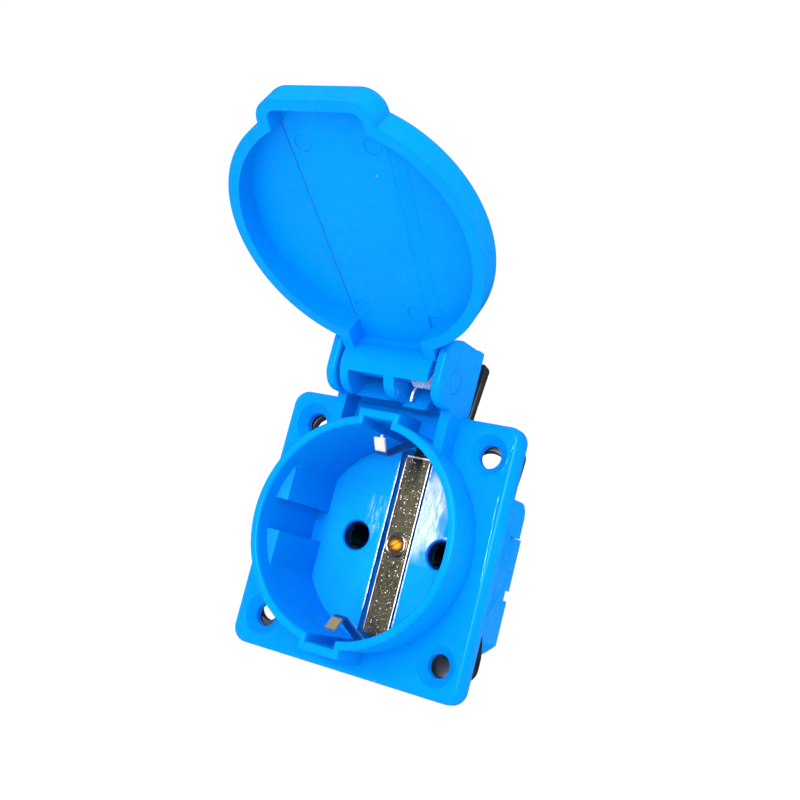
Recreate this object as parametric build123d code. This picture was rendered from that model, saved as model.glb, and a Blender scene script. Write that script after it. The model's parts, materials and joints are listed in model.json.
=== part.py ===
from build123d import *
from math import acos, atan2, cos, degrees, hypot, pi, sin, sqrt
import os

# A two-pole panel socket with side earth clips and a sprung flap lid, in millimetres.
# +Z is up towards the hinge, +Y goes into the panel, +X is to the right of someone who faces it.
# The origin is the centre of the flange's back face. The lid stands open, as photographed.

# Flange and its screw holes
flange_size = 50.0
flange_thick = 2.9
flange_corner = 3.0
flange_round = 1.3
screw_share = 0.4303
screw_hole_radius = 2.15
screw_sink_radius = 3.85
screw_sink_depth = 1.5

# Well and collar
well_radius = 19.5
well_depth = 18.9
collar_wall = 1.6
collar_height = 8.5
collar_round = 0.5
floor_thick = 2.0
body_wall = 1.9

# Key pockets over and under the well, which the earth clips stand in
key_half = 3.0
key_reach = 20.75
key_wall = 1.6
key_cheek = 1.3
key_draft = 0.5

# Guide blocks at the sides of the well
guide_face = 16.9
guide_gap = 5.9
guide_lead = 3.2
guide_ramp = 0.6

# Plug pins and their holes in the floor
pin_pitch = 19.0
pin_hole_radius = 2.75
pin_hole_sink = 0.45

# Hinge: its axis, the ears and the posts under them
hinge_forward = 8.46
hinge_height = 30.17
ear_gap = 20.3
ear_thick = 2.0
ear_reach = 5.45
ear_above = 7.73
ear_below = 5.3
ear_nose = 4.0
ear_front_height = 6.0
ear_flat = 8.45
ear_brow = 3.0
ear_crown = 1.2
ear_round = 0.6
post_forward = 7.45
post_foot = 17.0
neck_thick = 2.2

# Hinge pin
pin_radius = 1.4
pin_head_radius = 2.05
pin_head_length = 0.9
pin_blind = 1.4
pin_play = 0.05
fixed_play = 0.02

# Lid cap
lid_open = 124.0
lid_inner_radius = 22.35
lid_skirt = 2.15
lid_skirt_height = 5.7
lid_roof = 1.55
lid_rim_gap = 0.6
lid_round = 1.6
band_height = 0.3
band_half_far = 9.85
band_half_near = 7.75
mark_radius = 1.6
mark_depth = 0.12
mark_far = (6.8, 16.0)
mark_near = (5.55, 18.0)

# Lid tab over the lower key pocket, and the neck over the upper one
tab_half = 9.1
tab_reach = 24.2
tab_wall = 2.2
tab_lip = 2.0
tab_corner = 4.3
tab_inner_corner = 2.0
neck_half = 7.5
neck_wall = 2.3

# Hinge barrel of the lid
barrel_radius = 5.3
barrel_play = 0.85
barrel_flat = 5.0
pocket_half = 3.1
pocket_depth = 2.7
pocket_wall = 1.8
pocket_width = 7.7
rib_width = 2.15
spring_seat = 0.6
spring_seat_end = 7.2

# Torsion spring
wire_radius = 0.32
coil_radius = 1.85
coil_start = 3.9
coil_end = 8.9
coil_turns = 7.5
lid_leg_back = 0.6
lid_leg_knee = 2.87
lid_leg_drop = 4.75
ear_leg_rise = 1.2
ear_leg_run = 0.6
ear_leg_in = 0.6
ear_leg_play = 0.12

# Earth strap with a clip at each end
strap_width = 5.4
strap_thick = 0.5
strap_end = 17.5
strap_groove = 1.2
clip_width = 2.2
clip_stand = 20.2
clip_crest = (12.5, 15.05)
clip_knee = 2.0
clip_lip = (14.9, 15.85)
clip_tip = (16.3, 17.7)
clip_root = 1.0
clip_flat = 1.0
clip_bends = (0.7, 1.2, 1.0, 0.9)

# Eyelet, centre screw and its nut
eyelet_radius = 2.3
eyelet_lip = 0.55
eyelet_barrel = 1.95
eyelet_play = 0.05
eyelet_seat = 0.5
screw_head_radius = 1.65
screw_head_height = 0.95
screw_radius = 1.2
screw_length = 6.6
screw_slot = 0.5
slot_turn = 35.0
nut_size = 5.0
nut_thick = 2.4
nut_corner = 0.4
nut_play = 0.25

# Terminal base
base_depth = 28.3
base_wall = 1.3
base_side = 16.1
base_bottom = 17.2
base_top_side = 17.4
base_top_depth = 23.9
base_top_from = 7.2
base_top_height = 14.1
base_top_round = 3.0
base_disc_depth = 12.5
base_notch = (3.2, 5.2)
base_notch_depth = 2.2
base_notch_width = 2.5
base_round = 0.6
base_web = 1.7

# Contacts, terminals and their chambers in the base
sleeve_bore = 2.45
sleeve_wall = 0.8
sleeve_start = 0.3
sleeve_slit = 0.5
slit_length = 9.0
slit_turn = 45.0
ring_wall = 0.3
ring_width = 3.0
ring_offset = 1.6
ring_gap = 2.0
chamber_play = 0.7
chamber_end = 0.3
tail_width = 2.4
tail_thick = 0.8
tail_forward = 1.3
tail_short = 1.0
link_bend = 1.0
link_root = 2.0
link_wall = 1.45
block_width = 7.0
block_depth = 8.0
block_height = 7.0
block_top = 6.4
block_play = 0.3
terminal_inset = 2.8
wire_hole_radius = 2.1
wire_entry = 5.0
clamp_radius = 1.6
clamp_play = 0.05
clamp_head_radius = 2.6
clamp_head_height = 2.0
clamp_length = 5.4
clamp_lift = 0.3
clamp_well_radius = 2.9
clamp_turns = (20.0, 75.0, -40.0)

# Gasket behind the flange and the neck
gasket_thick = 1.5
gasket_web = 2.3
gasket_corner = 3.0
gasket_hole_radius = 2.4
gasket_play = 0.3
gasket_neck_half = 12.5
gasket_neck_drop = 1.7
gasket_neck_corner = 2.5

# Cuts run this far past the faces that they open, and edges this close to a plane count as in it
past = 1.0
hair = 0.001

# Places worked out from the sizes above
rim = -flange_thick - collar_height
floor_face = rim + well_depth
floor_back = floor_face + floor_thick
body_radius = well_radius + body_wall
corner_reach = flange_corner + (flange_size / 2 - flange_corner) * sqrt(2)
screw_pitch = (body_radius + screw_share * (corner_reach - body_radius)) * sqrt(2)
collar_radius = well_radius + collar_wall
ear_inner = ear_gap / 2
ear_outer = ear_inner + ear_thick
ear_front = -hinge_forward - ear_reach
ear_top = hinge_height + ear_above
barrel_half = ear_inner - barrel_play
lid_floor = rim - lid_rim_gap
lid_front = lid_floor - lid_roof
lid_edge = lid_front + lid_skirt_height
lid_radius = lid_inner_radius + lid_skirt
sleeve_radius = sleeve_bore + sleeve_wall
sleeve_length = base_depth - base_wall - chamber_end - sleeve_start - floor_back
chamber_radius = sleeve_radius + chamber_play
contact_x = pin_pitch / 2
terminal_ledge = base_depth - terminal_inset
block_middle = terminal_ledge - block_depth / 2
block_z = -block_top - block_height / 2
tail_middle = block_middle - tail_forward
tail_low = block_z - block_height / 2 + tail_short
hinge_axis = Axis((0, -hinge_forward, hinge_height), (1, 0, 0))


# Shapes drawn in one plane and pushed along the third axis
def slab(sketch, front, back):
    """A sketch drawn in X and Z, solid between two places in Y."""
    return extrude(Plane.XZ.offset(-back) * sketch, amount=back - front)


def beam(sketch, left, right):
    """A sketch drawn in Y and Z, solid between two places in X."""
    return extrude(Plane.YZ.offset(left) * sketch, amount=right - left)


def column(sketch, low, high):
    """A sketch drawn in X and Y, solid between two places in Z."""
    return extrude(Plane.XY.offset(low) * sketch, amount=high - low)


def outline(*points):
    """A flat face inside straight lines through the points."""
    return make_face(Polyline(*points, close=True))


def block(x, y, z):
    """A box given by its two limits along each axis."""
    return slab(outline((x[0], z[0]), (x[1], z[0]), (x[1], z[1]), (x[0], z[1])), y[0], y[1])


def sink(x, z, face, narrow, wide, depth):
    """A cone, wide at its face in Y and narrower behind it."""
    cone = Cone(narrow, wide, depth, align=(Align.CENTER, Align.CENTER, Align.MIN))
    return Plane.XZ.offset(-face - depth) * Pos(x, z, 0) * cone


def softened(sketch, point, radius):
    """The sketch with its corner at that point rounded."""
    return fillet(sketch.vertices().sort_by_distance(point)[0], radius)


def strip(path, width, thick):
    """A flat strip bent along a path that lies in Y and Z."""
    start = Plane(path @ 0, x_dir=(1, 0, 0), z_dir=path % 0)
    return sweep(start * Rectangle(width, thick), path=path)


def at_front(shape, place):
    """The edges of a shape that lie in one plane across Y."""
    return shape.edges().filter_by_position(Axis.Y, place - hair, place + hair)


# Front housing
def flange_plate():
    plate = slab(RectangleRounded(flange_size, flange_size, flange_corner), -flange_thick, 0)
    return fillet(at_front(plate, -flange_thick), flange_round)


def key_box(side):
    """The drafted box that stands on the collar outside a key pocket."""
    half = key_half + key_cheek
    outer = key_reach + key_wall
    walls = outline(
        (rim, side * well_radius),
        (rim, side * outer),
        (-flange_thick, side * (outer + key_draft)),
        (0, side * (outer + key_draft)),
        (0, side * well_radius),
    )
    return beam(walls, -half, half)


def key_pocket(side):
    low, high = sorted((side * well_radius / 2, side * key_reach))
    return block((-key_half, key_half), (rim - past, floor_face), (low, high))


def guide_block(side, up):
    """A block at the side of the well: a sloped lead-in, then a flat face down to the floor."""
    wall = well_radius + body_wall / 2
    start = rim + guide_lead
    flat = start + guide_ramp
    profile = outline(
        (side * wall, start),
        (side * well_radius, start),
        (side * guide_face, flat),
        (side * guide_face, floor_back),
        (side * wall, floor_back),
    )
    reach = sqrt(well_radius**2 - guide_face**2) + past
    low, high = sorted((up * guide_gap / 2, up * reach))
    return column(profile, low, high) & slab(Circle(wall), start, floor_back)


def ear_and_post(left):
    """One hinge ear with the post that carries it, as one profile along the hinge."""
    low = hinge_height - ear_below
    top_front = (ear_front, hinge_height + ear_front_height)
    side = outline(
        (0, post_foot),
        (-post_forward, post_foot),
        (-post_forward, low),
        (ear_front, low),
        top_front,
        (-ear_flat, ear_top),
        (0, ear_top),
    )
    side = softened(side, (ear_front, low), ear_nose)
    side = softened(side, top_front, ear_brow)
    side = softened(side, (-ear_flat, ear_top), ear_crown)
    ear = beam(side, left, left + ear_thick)
    rims = [e for e in ear.edges() if e.center().Y < -ear_flat and e.bounding_box().size.X < hair]
    return fillet(rims, ear_round)


def hinge_frame():
    """Both ears, and the neck wall that rises behind them from the flange."""
    wall = block((-ear_outer, ear_outer), (-neck_thick, 0), (flange_size / 2 - past, ear_top))
    return wall + ear_and_post(-ear_outer) + ear_and_post(ear_inner)


def pin_bores():
    """The bore through the right ear with its head seat, and the blind bore in the left one."""
    centre = Pos(-hinge_forward, hinge_height)
    bore = beam(centre * Circle(pin_radius + fixed_play), -ear_inner - pin_blind, ear_outer + past)
    head = centre * Circle(pin_head_radius + fixed_play)
    seat = beam(head, ear_outer - pin_head_length, ear_outer + past)
    return bore + seat


def spring_hole():
    """The small hole in the right ear that holds the end of the spring."""
    centre = Pos(-hinge_forward - coil_radius, hinge_height + ear_leg_rise)
    depth = ear_leg_in + wire_radius + ear_leg_play
    return beam(centre * Circle(wire_radius + ear_leg_play), ear_inner - past, ear_inner + depth)


def screw_holes():
    holes = []
    for x in (-screw_pitch / 2, screw_pitch / 2):
        for z in (-screw_pitch / 2, screw_pitch / 2):
            holes.append(slab(Pos(x, z) * Circle(screw_hole_radius), -flange_thick - past, past))
            holes.append(sink(x, z, -flange_thick, screw_hole_radius, screw_sink_radius, screw_sink_depth))
    return holes


def floor_cuts():
    """Pin holes, the groove that the strap lies in, and the hole of the eyelet."""
    cuts = [slab(Circle(eyelet_barrel + eyelet_play), floor_face - past, floor_back + past)]
    groove = strap_width / 2 + strap_groove
    cuts.append(block((-groove, groove), (rim, floor_face + strap_thick), (-well_radius, well_radius))
                & slab(Circle(well_radius), floor_face - past, floor_back))
    run = key_reach
    cuts.append(block((-key_half, key_half), (floor_face - past, floor_face + strap_thick), (-run, run)))
    for x in (-contact_x, contact_x):
        cuts.append(slab(Pos(x, 0) * Circle(pin_hole_radius), floor_face - past, floor_back + past))
        wide = pin_hole_radius + pin_hole_sink
        cuts.append(sink(x, 0, floor_face, pin_hole_radius, wide, pin_hole_sink))
    return cuts


def front_housing():
    collar = slab(Circle(collar_radius), rim, 0)
    body = slab(Circle(body_radius), -flange_thick, floor_back)
    shell = flange_plate() + collar + body + key_box(1) + key_box(-1) + hinge_frame()
    shell -= slab(Circle(well_radius), rim - past, floor_face)
    shell -= [key_pocket(1), key_pocket(-1)]
    shell = fillet(at_front(shell, rim), collar_round)
    shell += [guide_block(side, up) for side in (-1, 1) for up in (-1, 1)]
    shell -= floor_cuts()
    shell -= screw_holes()
    shell -= [pin_bores(), spring_hole()]
    return shell


# Lid, drawn closed over the collar and then turned open
def lid_shell():
    """Round cap with its grip tab below and its neck above, as one outside shape."""
    cap = slab(Circle(lid_radius), lid_front, lid_edge)
    half = tab_half + tab_wall
    tall = tab_reach + tab_lip
    tab = Pos(0, -tall / 2) * RectangleRounded(2 * half, tall, tab_corner)
    cap += slab(tab, lid_front, lid_edge)
    width = neck_half + neck_wall
    cap += block((-width, width), (lid_front, lid_edge), (0, hinge_height - barrel_flat))
    return fillet(at_front(cap, lid_front), lid_round)


def lid_hollow():
    """The inside of the cap, the tab and the neck, open towards the socket."""
    hollow = slab(Circle(lid_inner_radius), lid_floor, lid_edge + past)
    tab = Pos(0, -tab_reach / 2) * RectangleRounded(2 * tab_half, tab_reach, tab_inner_corner)
    hollow += slab(tab, lid_floor, lid_edge + past)
    top = hinge_height - barrel_flat
    return hollow + block((-neck_half, neck_half), (lid_floor, lid_edge + past), (0, top))


def floor_band():
    """The low raised band across the lid's floor, wider at the tab, with its ejector marks."""
    face = lid_floor + band_height
    root = lid_floor - lid_roof / 2
    end = lid_inner_radius
    near = ((-band_half_near, end), (band_half_near, end))
    far = ((band_half_far, -end), (-band_half_far, -end))
    band = outline(*near, *far)
    raised = slab(band, root, face) & slab(Circle(end + lid_skirt / 2), root, face)
    tab = Pos(0, -tab_reach / 2) * RectangleRounded(2 * tab_half, tab_reach, tab_inner_corner)
    room = block((-tab_half, tab_half), (root, face), (-tab_reach, tab_half - end))
    raised += slab(tab, root, face) & room
    raised += block((-neck_half, neck_half), (root, face), (neck_half, hinge_height - barrel_flat))
    for x, z in ((mark_near[0], mark_near[1]), (mark_far[0], -mark_far[1])):
        for side in (-1, 1):
            raised -= slab(Pos(side * x, z) * Circle(mark_radius), face - mark_depth, face + past)
    return raised


def lid_barrel():
    """The barrel round the hinge pin, flat towards the cap, with a deeper seat for the spring's leg."""
    centre = Pos(-hinge_forward, hinge_height)
    barrel = beam(centre * Circle(barrel_radius), -barrel_half, barrel_half)
    back = sqrt(barrel_radius**2 - barrel_flat**2)
    barrel += block((-barrel_half, barrel_half), (lid_front, -hinge_forward + back),
                    (hinge_height - barrel_flat, hinge_height))
    seat = beam(centre * Circle(barrel_radius + spring_seat), rib_left() + rib_width, spring_seat_end)
    above = block((0, barrel_half), (-hinge_forward, 0), (hinge_height, hinge_height + 2 * barrel_radius))
    return barrel + (seat & above)


def rib_left():
    """The left face of the rib between the two pockets of the barrel."""
    return -barrel_half + pocket_wall + pocket_width


def barrel_pocket(left, right, below):
    """A straight pocket cored into the barrel from the side that faces the panel."""
    y = (-hinge_forward - pocket_depth, 0)
    return block((left, right), y, (hinge_height - pocket_half, hinge_height + below))


def barrel_cuts():
    rib = rib_left()
    first = barrel_pocket(-barrel_half + pocket_wall, rib, pocket_half)
    second = barrel_pocket(rib + rib_width, barrel_half + past, pocket_half + spring_seat)
    centre = Pos(-hinge_forward, hinge_height)
    bore = beam(centre * Circle(pin_radius + pin_play), -barrel_half - past, barrel_half + past)
    far_shell = block((spring_seat_end, barrel_half + past), (-hinge_forward - pocket_depth / 2, 0),
                      (hinge_height, hinge_height + 2 * barrel_radius))
    return [first, second, bore, far_shell]


def lid():
    shape = lid_shell() - lid_hollow() + floor_band() + lid_barrel()
    shape -= barrel_cuts()
    return shape.rotate(hinge_axis, -lid_open)


def hinge_pin():
    """A moulded pin with a flat head, pushed in from the right ear."""
    centre = Pos(-hinge_forward, hinge_height)
    pin = beam(centre * Circle(pin_radius), -ear_inner - pin_blind + pin_play, ear_outer)
    return pin + beam(centre * Circle(pin_head_radius), ear_outer - pin_head_length, ear_outer)


# Torsion spring
def wire(*points):
    """Straight pieces of the spring's wire with a ball at each bend."""
    pieces = []
    for start, stop in zip(points, points[1:]):
        way = Vector(*stop) - Vector(*start)
        rod = Cylinder(wire_radius, way.length, align=(Align.CENTER, Align.CENTER, Align.MIN))
        pieces.append(Plane(start, z_dir=way) * rod)
        pieces.append(Pos(*stop) * Sphere(wire_radius))
    return pieces


def lid_spring():
    """A close coil round the pin, one leg down on the lid's barrel and one end in the right ear."""
    back, knee = lid_leg_back, -lid_leg_knee
    first = atan2(knee, back) + acos(coil_radius / hypot(back, knee))
    turn = 2 * pi * coil_turns - first
    length = coil_end - coil_start
    helix = Helix(length * 2 * pi / turn, length, coil_radius)
    ring = Plane(helix @ 0, z_dir=helix % 0) * Circle(wire_radius)
    coil = Plane.YZ * Rot(0, 0, degrees(first)) * sweep(ring, path=helix)
    spring = Pos(coil_start, -hinge_forward, hinge_height) * coil
    y, z = -hinge_forward, hinge_height
    start = (coil_start, y + coil_radius * cos(first), z + coil_radius * sin(first))
    lid_leg = wire(start, (coil_start, y + back, z + knee), (coil_start, y + back, z - lid_leg_drop))
    ear_y = y - coil_radius
    rise = z + ear_leg_rise
    bend = (coil_end + ear_leg_run, ear_y, rise)
    ear_leg = wire((coil_end, ear_y, z), bend, (ear_inner + ear_leg_in, ear_y, rise))
    return spring + [Pos(*start) * Sphere(wire_radius)] + lid_leg + ear_leg


# Earth strap
def clip_arm(side):
    """The narrow end of the strap: up in its key pocket, in to the crest, then out again."""
    middle = floor_face + strap_thick / 2
    crest_y, crest_z = clip_crest
    lip_y, lip_z = clip_lip
    tip_y, tip_z = clip_tip
    stand = floor_face - clip_knee
    points = ((middle, strap_end - clip_root), (middle, clip_stand), (stand, clip_stand),
              (floor_face - crest_y - clip_flat, crest_z), (floor_face - lip_y, lip_z),
              (floor_face - tip_y, tip_z))
    path = FilletPolyline(*[(0, y, side * z) for y, z in points], radius=list(clip_bends))
    return strip(path, clip_width, strap_thick)


def earth_strap():
    half = strap_width / 2
    strap = block((-half, half), (floor_face, floor_face + strap_thick), (-strap_end, strap_end))
    strap += [clip_arm(1), clip_arm(-1)]
    return strap - slab(Circle(eyelet_barrel + eyelet_play), floor_face - past, floor_back)


def strap_eyelet():
    """A turned cup: its lip on the strap, its barrel through strap and floor, the screw inside."""
    cup = slab(Circle(eyelet_radius), floor_face - eyelet_lip, floor_face)
    cup += slab(Circle(eyelet_barrel), floor_face, floor_back)
    cup -= slab(Circle(screw_head_radius + eyelet_play), floor_face - past, floor_face + eyelet_seat)
    return cup - slab(Circle(screw_radius + eyelet_play), floor_face, floor_back + past)


def slotted_screw(x, z, head_front, head_radius, head_height, radius, tip, turn):
    """A slotted screw along Y, with its head towards the front, or the back if its tip is in front."""
    way = 1 if tip > head_front else -1
    under = head_front + way * head_height
    low, high = sorted((head_front, under))
    head = slab(Pos(x, z) * Circle(head_radius), low, high)
    low, high = sorted((under, tip))
    shank = slab(Pos(x, z) * Circle(radius), low, high)
    low, high = sorted((head_front - way, head_front + way * head_height / 2))
    slot = slab(Pos(x, z) * Rot(0, 0, turn) * Rectangle(2 * (head_radius + past), screw_slot), low, high)
    return head + shank - slot


def centre_screw():
    front = floor_face + eyelet_seat - screw_head_height
    tip = floor_face + eyelet_seat + screw_length
    return slotted_screw(0, 0, front, screw_head_radius, screw_head_height, screw_radius, tip, slot_turn)


def centre_nut():
    """A square nut that bears on the web of the base."""
    front = floor_back + tail_thick + base_web
    nut = slab(RectangleRounded(nut_size, nut_size, nut_corner), front, front + nut_thick)
    return nut - slab(Circle(screw_radius + fixed_play), front - past, front + nut_thick + past)


def earth_link():
    """A brass strip: a plate under the centre screw, then back and down into its terminal."""
    half = strap_width / 2
    drop = link_drop()
    plate = block((-half, half), (floor_back, floor_back + tail_thick), (-drop - tail_thick / 2, half))
    middle = floor_back + tail_thick / 2
    points = ((middle, link_root - drop), (middle, -drop), (tail_middle, -drop), (tail_middle, tail_low))
    path = FilletPolyline(*[(0, y, z) for y, z in points], radius=link_bend)
    tail = strip(path, tail_width, tail_thick)
    hole = slab(Circle(screw_radius + eyelet_play), floor_back - past, floor_back + tail_thick + past)
    return plate + tail - hole


def link_drop():
    return nut_size / 2 + nut_play + link_wall + tail_thick / 2


# Contacts and terminals
def contact(x):
    """A slit sleeve that grips a plug pin, with a tail down into its terminal."""
    front = floor_back + sleeve_start
    sleeve = slab(Pos(x, 0) * Circle(sleeve_radius), front, front + sleeve_length)
    tail = block((x - tail_width / 2, x + tail_width / 2),
                 (tail_middle - tail_thick / 2, tail_middle + tail_thick / 2), (tail_low, -sleeve_bore))
    sleeve += tail
    sleeve -= slab(Pos(x, 0) * Circle(sleeve_bore), front - past, front + sleeve_length + past)
    for size in ((2 * (sleeve_radius + past), sleeve_slit), (sleeve_slit, 2 * (sleeve_radius + past))):
        slit = Pos(x, 0) * Rot(0, 0, slit_turn) * Rectangle(*size)
        sleeve -= slab(slit, front - past, front + slit_length)
    return sleeve


def contact_spring(x):
    """An open steel ring that presses the sleeve's fingers together."""
    inner = sleeve_radius + fixed_play
    front = floor_back + sleeve_start + ring_offset
    ring = slab(Pos(x, 0) * (Circle(inner + ring_wall) - Circle(inner)), front, front + ring_width)
    return ring - block((x - ring_gap / 2, x + ring_gap / 2), (front - past, front + ring_width + past),
                        (0, 2 * sleeve_radius))


def terminal(x):
    """A brass block with a wire hole from below and a threaded hole from behind."""
    half = block_width / 2
    body = block((x - half, x + half), (terminal_ledge - block_depth, terminal_ledge),
                 (block_z - block_height / 2, block_z + block_height / 2))
    wire_hole = Pos(x, block_middle) * Circle(wire_hole_radius)
    body -= column(wire_hole, block_z - block_height, block_z + block_height)
    thread = Pos(x, block_z) * Circle(clamp_radius + clamp_play)
    return body - slab(thread, block_middle, terminal_ledge + past)


def terminal_places():
    return (-contact_x, 0, contact_x)


def terminal_screws():
    """Three clamp screws with their heads towards the back."""
    screws = []
    back = terminal_ledge + clamp_lift + clamp_head_height
    for x, turn in zip(terminal_places(), clamp_turns):
        tip = back - clamp_length
        screws.append(slotted_screw(x, block_z, back, clamp_head_radius, clamp_head_height,
                                    clamp_radius, tip, turn))
    return screws


# Terminal base
def base_shell():
    """The rear moulding: a round disc, then a body with flat sides that is less deep towards the top."""
    disc = slab(Circle(body_radius), floor_back, base_disc_depth)
    main = slab(Circle(body_radius), floor_back, base_depth)
    main &= block((-base_side, base_side), (0, base_depth), (-base_bottom, base_top_from))
    across = (-base_top_side, base_top_side)
    top = block(across, (floor_back, base_top_depth), (base_top_from, base_top_height))
    high_edge = top.edges().filter_by(Axis.X).sort_by_distance((0, base_top_depth, base_top_height))[0]
    top = fillet(high_edge, base_top_round)
    main = fillet(at_front(main, base_depth), base_round)
    shell = disc + main + top
    for side in (-1, 1):
        low, high = sorted((side * (base_side - base_notch_width), side * (base_side + past)))
        z = (-base_notch[1], -base_notch[0])
        shell -= block((low, high), (base_depth - base_notch_depth, base_depth + past), z)
    return shell


def contact_chamber(x):
    """Room for a sleeve and its tail, open towards the well's floor."""
    end = floor_back + sleeve_start + sleeve_length + chamber_end
    room = slab(Pos(x, 0) * Circle(chamber_radius), floor_back - past, end)
    half = tail_width / 2 + block_play
    back = tail_middle + tail_thick / 2 + block_play
    return room + block((x - half, x + half), (floor_back - past, back), (-block_top, 0))


def terminal_chamber(x):
    """Room for a terminal block, its screw's well at the back and its wire entry from below."""
    half = block_width / 2 + block_play
    low = block_z - block_height / 2 - block_play
    room = block((x - half, x + half), (floor_back - past, terminal_ledge), (low, -block_top + block_play))
    well = slab(Pos(x, block_z) * Circle(clamp_well_radius), terminal_ledge - past, base_depth + past)
    mouth = Pos(x, block_middle) * Rectangle(wire_entry, wire_entry)
    entry = column(mouth, -body_radius - past, low + past)
    return room + well + entry


def centre_chamber():
    """The seat of the earth link, the screw's hole in the web, and the nut's square well."""
    half = strap_width / 2 + block_play
    drop = link_drop() + tail_thick / 2 + block_play
    seat = block((-half, half), (floor_back - past, floor_back + tail_thick), (-drop, half))
    web = floor_back + tail_thick + base_web
    hole = slab(Circle(screw_radius + nut_play), floor_back, web + past)
    nut = slab(Rectangle(nut_size + 2 * nut_play, nut_size + 2 * nut_play), web, base_depth + past)
    half = tail_width / 2 + block_play
    back = tail_middle + tail_thick / 2 + block_play
    run = block((-half, half), (floor_back, back), (-block_top, link_bend + tail_thick / 4 - link_drop()))
    return seat + hole + nut + run


def terminal_base():
    shell = base_shell()
    shell -= [contact_chamber(-contact_x), contact_chamber(contact_x)]
    shell -= [terminal_chamber(x) for x in terminal_places()]
    return shell - centre_chamber()


# Gasket
def panel_gasket():
    """A rubber sheet behind the flange, with a tongue behind the hinge neck."""
    size = 2 * (body_radius + gasket_play + gasket_web)
    sheet = RectangleRounded(size, size, gasket_corner)
    high = ear_top - gasket_neck_drop
    tongue = Pos(0, high / 2) * RectangleRounded(2 * gasket_neck_half, high, gasket_neck_corner)
    shape = slab(sheet + tongue, 0, gasket_thick)
    shape -= slab(Circle(body_radius + gasket_play), -past, gasket_thick + past)
    for x in (-screw_pitch / 2, screw_pitch / 2):
        for z in (-screw_pitch / 2, screw_pitch / 2):
            shape -= slab(Pos(x, z) * Circle(gasket_hole_radius), -past, gasket_thick + past)
    return shape


# Write one file for each piece
pieces = {
    "front_housing": front_housing(),
    "lid": lid(),
    "hinge_pin": hinge_pin(),
    "lid_spring": lid_spring(),
    "panel_gasket": panel_gasket(),
    "earth_strap": earth_strap(),
    "strap_eyelet": strap_eyelet(),
    "centre_screw": centre_screw(),
    "centre_nut": centre_nut(),
    "earth_link": earth_link(),
    "contact_left": contact(-contact_x),
    "contact_right": contact(contact_x),
    "contact_spring_left": contact_spring(-contact_x),
    "contact_spring_right": contact_spring(contact_x),
    "terminal_left": terminal(-contact_x),
    "terminal_earth": terminal(0),
    "terminal_right": terminal(contact_x),
    "terminal_screws": Compound(terminal_screws()),
    "terminal_base": terminal_base(),
}
os.makedirs("parts", exist_ok=True)
for name, shape in pieces.items():
    export_step(shape, f"parts/{name}.step")
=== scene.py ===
# %% [markdown]
# # A blue panel socket with its lid open
#
# This lesson dresses a measured model of a panel socket. The model, called the frame here, comes from
# CAD: a moulded front housing with a round plug well, a sprung lid, a rubber gasket, a terminal base
# and the metal parts inside. Its shapes are already right, so most of this lesson is about finish.
# A few parts are soft or finer than the measured model carries: the rubber sheet that has curled away
# from the flange, the wire spring, the rolled eyelet, and the fine marks of the mould and the press.
# Those are worked out here as surfaces.
#
# The first lines read the part record from model.json and bring the parts in from model.glb, in metres.

import json
import math

import bpy
import numpy as np
from mathutils import Matrix, Vector


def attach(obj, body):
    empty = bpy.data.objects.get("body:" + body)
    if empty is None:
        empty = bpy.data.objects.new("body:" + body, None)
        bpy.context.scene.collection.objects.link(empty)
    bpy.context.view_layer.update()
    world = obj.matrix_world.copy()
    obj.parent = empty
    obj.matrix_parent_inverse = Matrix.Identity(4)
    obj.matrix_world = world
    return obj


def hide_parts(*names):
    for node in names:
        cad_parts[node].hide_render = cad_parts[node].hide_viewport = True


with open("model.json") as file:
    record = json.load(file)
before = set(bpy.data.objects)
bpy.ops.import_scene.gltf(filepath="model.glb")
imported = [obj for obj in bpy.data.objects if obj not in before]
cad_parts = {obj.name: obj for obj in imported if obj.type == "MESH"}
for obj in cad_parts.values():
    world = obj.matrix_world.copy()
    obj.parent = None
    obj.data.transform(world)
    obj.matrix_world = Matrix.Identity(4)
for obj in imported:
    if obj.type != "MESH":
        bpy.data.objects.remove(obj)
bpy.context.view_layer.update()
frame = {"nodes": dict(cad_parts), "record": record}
nodes = frame["nodes"]
MM = 0.001
print("parts loaded:", len(nodes))

# %% [markdown]
# Two small helpers serve every cell below. A colour picked from a picture is an sRGB value, while
# Blender's shaders count light, which is linear, so one function turns a hex code into linear light.
# The other adds a shader node, gives its settings, and links its inputs in the same call, so that a
# material reads as a list of steps.

# %% Colour and node helpers
def linear(code):
    """The linear red, green, blue and alpha of a six-digit sRGB hex code."""
    srgb = np.array([int(code[i : i + 2], 16) for i in (1, 3, 5)]) / 255
    light = np.where(srgb <= 0.04045, srgb / 12.92, ((srgb + 0.055) / 1.055) ** 2.4)
    return (*light.tolist(), 1.0)


def add(tree, kind, settings=None, out=0, **inputs):
    """A new node of that kind, of which one output is handed back, by number or name. An input goes by
    its name, or by an i and its number. A socket is linked to it, and any other value is set on it."""
    node = tree.nodes.new("ShaderNode" + kind)
    for name, value in (settings or {}).items():
        setattr(node, name, value)
    for name, value in inputs.items():
        socket = node.inputs[int(name[1:])] if name[0] == "i" and name[1:].isdigit() else node.inputs[name]
        if isinstance(value, bpy.types.NodeSocket):
            tree.links.new(value, socket)
        else:
            socket.default_value = value
    return node.outputs[out] if node.outputs else None


print("middle grey as light:", round(linear("#808080")[0], 3))

# %% [markdown]
# ## The camera
#
# A camera is matched to a photograph by four things: where it looks, from which side and height, how
# far away it is, and its lens. Lines that are parallel on the object, such as the flange's edges,
# converge more the nearer the camera is, which fixes the distance; the object's size in the frame then
# fixes the lens. This camera was also held at a tilt, so it is rolled about its own line of sight.

# %% Camera
AZIMUTH = 30.417
ELEVATION = -8.061
ROLL = 14.508
DISTANCE = 227.968 * MM
TARGET = Vector((-3.033, 0.0, 26.675)) * MM
LENS = 53.708


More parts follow.
